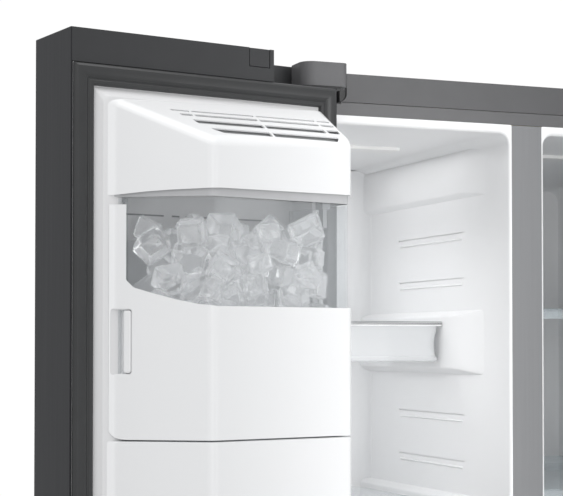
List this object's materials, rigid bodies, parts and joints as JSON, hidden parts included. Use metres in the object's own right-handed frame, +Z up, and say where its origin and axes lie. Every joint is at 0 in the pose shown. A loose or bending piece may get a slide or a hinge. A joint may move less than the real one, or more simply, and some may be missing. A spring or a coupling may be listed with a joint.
{
  "type": "side by side refrigerator",
  "caption": "Free-standing two-door cooling cabinet with an ice maker and a lift-out ice bucket in the freezer door, drawers, shelves and door bins.",
  "frame": {"origin": "on the floor under the middle of the cabinet's footprint", "axes": "+Z up, the doors' side faces -Y, +X to the right seen from the front"},
  "size_m": [1.7665, 1.0184, 1.78],
  "materials": {
    "graphite_steel": "satin",
    "frame_steel": "satin",
    "mullion_steel": "satin",
    "cover_plastic": "satin",
    "cap_plastic": "satin",
    "galvanised": "satin",
    "hinge_steel": "satin",
    "white_plastic": "semi-gloss",
    "clear_plastic": "clear",
    "clear_blue": "clear",
    "gasket_rubber": "matte",
    "foam": "matte",
    "black_plastic": "matte",
    "grey_plastic": "satin",
    "black_glass": "gloss",
    "lens": "gloss",
    "aluminium_fin": "satin",
    "black_enamel": "gloss",
    "stainless": "satin",
    "roller_nylon": "matte"
  },
  "bodies": {
    "cabinet": {"cabinet_shell": "graphite_steel", "back_panel": "galvanised", "base_pan": "galvanised", "cabinet_foam": "foam", "freezer_liner": "white_plastic", "fridge_liner": "white_plastic", "top_trim": "frame_steel", "front_frame": "frame_steel", "mullion_plate": "mullion_steel", "hinge_cover_left": "cover_plastic", "hinge_cover_right": "cover_plastic", "upper_hinge_left": "hinge_steel", "upper_hinge_right": "hinge_steel", "lower_hinges": "hinge_steel", "toe_grille": "cap_plastic", "compressor": "black_enamel", "condenser": "black_enamel", "drain_pan": "black_plastic", "machine_cover": "galvanised", "evaporator": "aluminium_fin", "evaporator_cover": "white_plastic", "light_lenses": "lens", "freezer_shelves": "clear_plastic", "fridge_shelves": "clear_blue"},
    "freezer_door": {"freezer_door_skin": "graphite_steel", "freezer_door_caps": "cap_plastic", "freezer_door_foam": "foam", "freezer_door_liner": "white_plastic", "freezer_gasket": "gasket_rubber", "freezer_handle": "black_plastic", "ice_housing": "white_plastic", "ice_maker": "grey_plastic", "chute_cover": "white_plastic", "dispenser_housing": "grey_plastic", "control_panel": "black_glass", "freezer_bins": "clear_plastic"},
    "fridge_door": {"fridge_door_skin": "graphite_steel", "fridge_door_caps": "cap_plastic", "fridge_door_foam": "foam", "fridge_door_liner": "white_plastic", "fridge_gasket": "gasket_rubber", "fridge_handle": "black_plastic", "fridge_bins": "clear_blue"},
    "ice_bin": {"ice_bucket": "clear_plastic", "bucket_front": "white_plastic"},
    "auger": {"ice_auger": "stainless"},
    "tray": {"ice_tray": "grey_plastic"},
    "feeler": {"sensor_arm": "grey_plastic"},
    "paddle": {"dispenser_paddle": "grey_plastic"},
    "flap": {"chute_flap": "grey_plastic"},
    "freezer_drawer_upper": {"freezer_drawer_1": "clear_plastic"},
    "freezer_drawer_lower": {"freezer_drawer_2": "clear_plastic"},
    "crisper_upper": {"crisper_1": "clear_blue"},
    "crisper_lower": {"crisper_2": "clear_blue"},
    "condenser_blades": {"condenser_fan": "black_plastic"},
    "evaporator_blades": {"evaporator_fan": "black_plastic"},
    "foot_l": {"foot_left": "black_plastic"},
    "foot_r": {"foot_right": "black_plastic"},
    "roller_l": {"roller_left": "roller_nylon"},
    "roller_r": {"roller_right": "roller_nylon"}
  },
  "joints": [
    {"name": "freezer_door_hinge", "type": "hinge", "parent": "cabinet", "child": "freezer_door", "pos_m": [-0.442, -0.426, 0.9], "axis": [0, 0, -1], "range_deg": [-169, 0]},
    {"name": "fridge_door_hinge", "type": "hinge", "parent": "cabinet", "child": "fridge_door", "pos_m": [0.442, -0.426, 0.9], "axis": [0, 0, 1], "range_deg": [-169, 0]},
    {"name": "freezer_drawer_upper_slide", "type": "slide", "parent": "cabinet", "child": "freezer_drawer_upper", "axis": [0, -1, 0], "range_m": [0, 0.3]},
    {"name": "freezer_drawer_lower_slide", "type": "slide", "parent": "cabinet", "child": "freezer_drawer_lower", "axis": [0, -1, 0], "range_m": [0, 0.2]},
    {"name": "crisper_upper_slide", "type": "slide", "parent": "cabinet", "child": "crisper_upper", "axis": [0, -1, 0], "range_m": [0, 0.35]},
    {"name": "crisper_lower_slide", "type": "slide", "parent": "cabinet", "child": "crisper_lower", "axis": [0, -1, 0], "range_m": [0, 0.2]},
    {"name": "ice_bin_slide", "type": "slide", "parent": "freezer_door", "child": "ice_bin", "axis": [0.1908, -0.9816, 0], "range_m": [0, 0.15]},
    {"name": "auger_spin", "type": "hinge", "parent": "ice_bin", "child": "auger", "pos_m": [-0.60643, -0.51297, 1.322], "axis": [0.9816, 0.1908, 0], "continuous": true},
    {"name": "tray_twist", "type": "hinge", "parent": "freezer_door", "child": "tray", "pos_m": [-0.60528, -0.51886, 1.63], "axis": [0.9816, 0.1908, 0], "range_deg": [0, 150]},
    {"name": "feeler_swing", "type": "hinge", "parent": "freezer_door", "child": "feeler", "pos_m": [-0.46257, -0.52983, 1.606], "axis": [0.9816, 0.1908, 0], "range_deg": [0, 25]},
    {"name": "paddle_push", "type": "hinge", "parent": "freezer_door", "child": "paddle", "pos_m": [-0.62218, -0.45287, 1.18], "axis": [-0.9816, -0.1908, 0], "range_deg": [0, 9], "stiffness_Nm_per_rad": 0.6},
    {"name": "flap_swing", "type": "hinge", "parent": "freezer_door", "child": "flap", "pos_m": [-0.62829, -0.42146, 1.22], "axis": [0.9816, 0.1908, 0], "range_deg": [0, 27]},
    {"name": "condenser_fan_spin", "type": "hinge", "parent": "cabinet", "child": "condenser_blades", "pos_m": [0.118, 0.19, 0.15], "axis": [1, 0, 0], "continuous": true},
    {"name": "evaporator_fan_spin", "type": "hinge", "parent": "cabinet", "child": "evaporator_blades", "pos_m": [-0.248, 0.216, 0.88], "axis": [0, 1, 0], "continuous": true},
    {"name": "foot_left_turn", "type": "hinge", "parent": "cabinet", "child": "foot_l", "pos_m": [-0.396, -0.304, 0], "axis": [0, 0, 1], "continuous": true},
    {"name": "foot_right_turn", "type": "hinge", "parent": "cabinet", "child": "foot_r", "pos_m": [0.396, -0.304, 0], "axis": [0, 0, 1], "continuous": true},
    {"name": "roller_left_spin", "type": "hinge", "parent": "cabinet", "child": "roller_l", "pos_m": [-0.401, 0.309, 0.025], "axis": [1, 0, 0], "continuous": true},
    {"name": "roller_right_spin", "type": "hinge", "parent": "cabinet", "child": "roller_r", "pos_m": [0.401, 0.309, 0.025], "axis": [1, 0, 0], "continuous": true}
  ],
  "couplings": [
    {"joint": "flap_swing", "follows": "paddle_push", "ratio": 3}
  ]
}
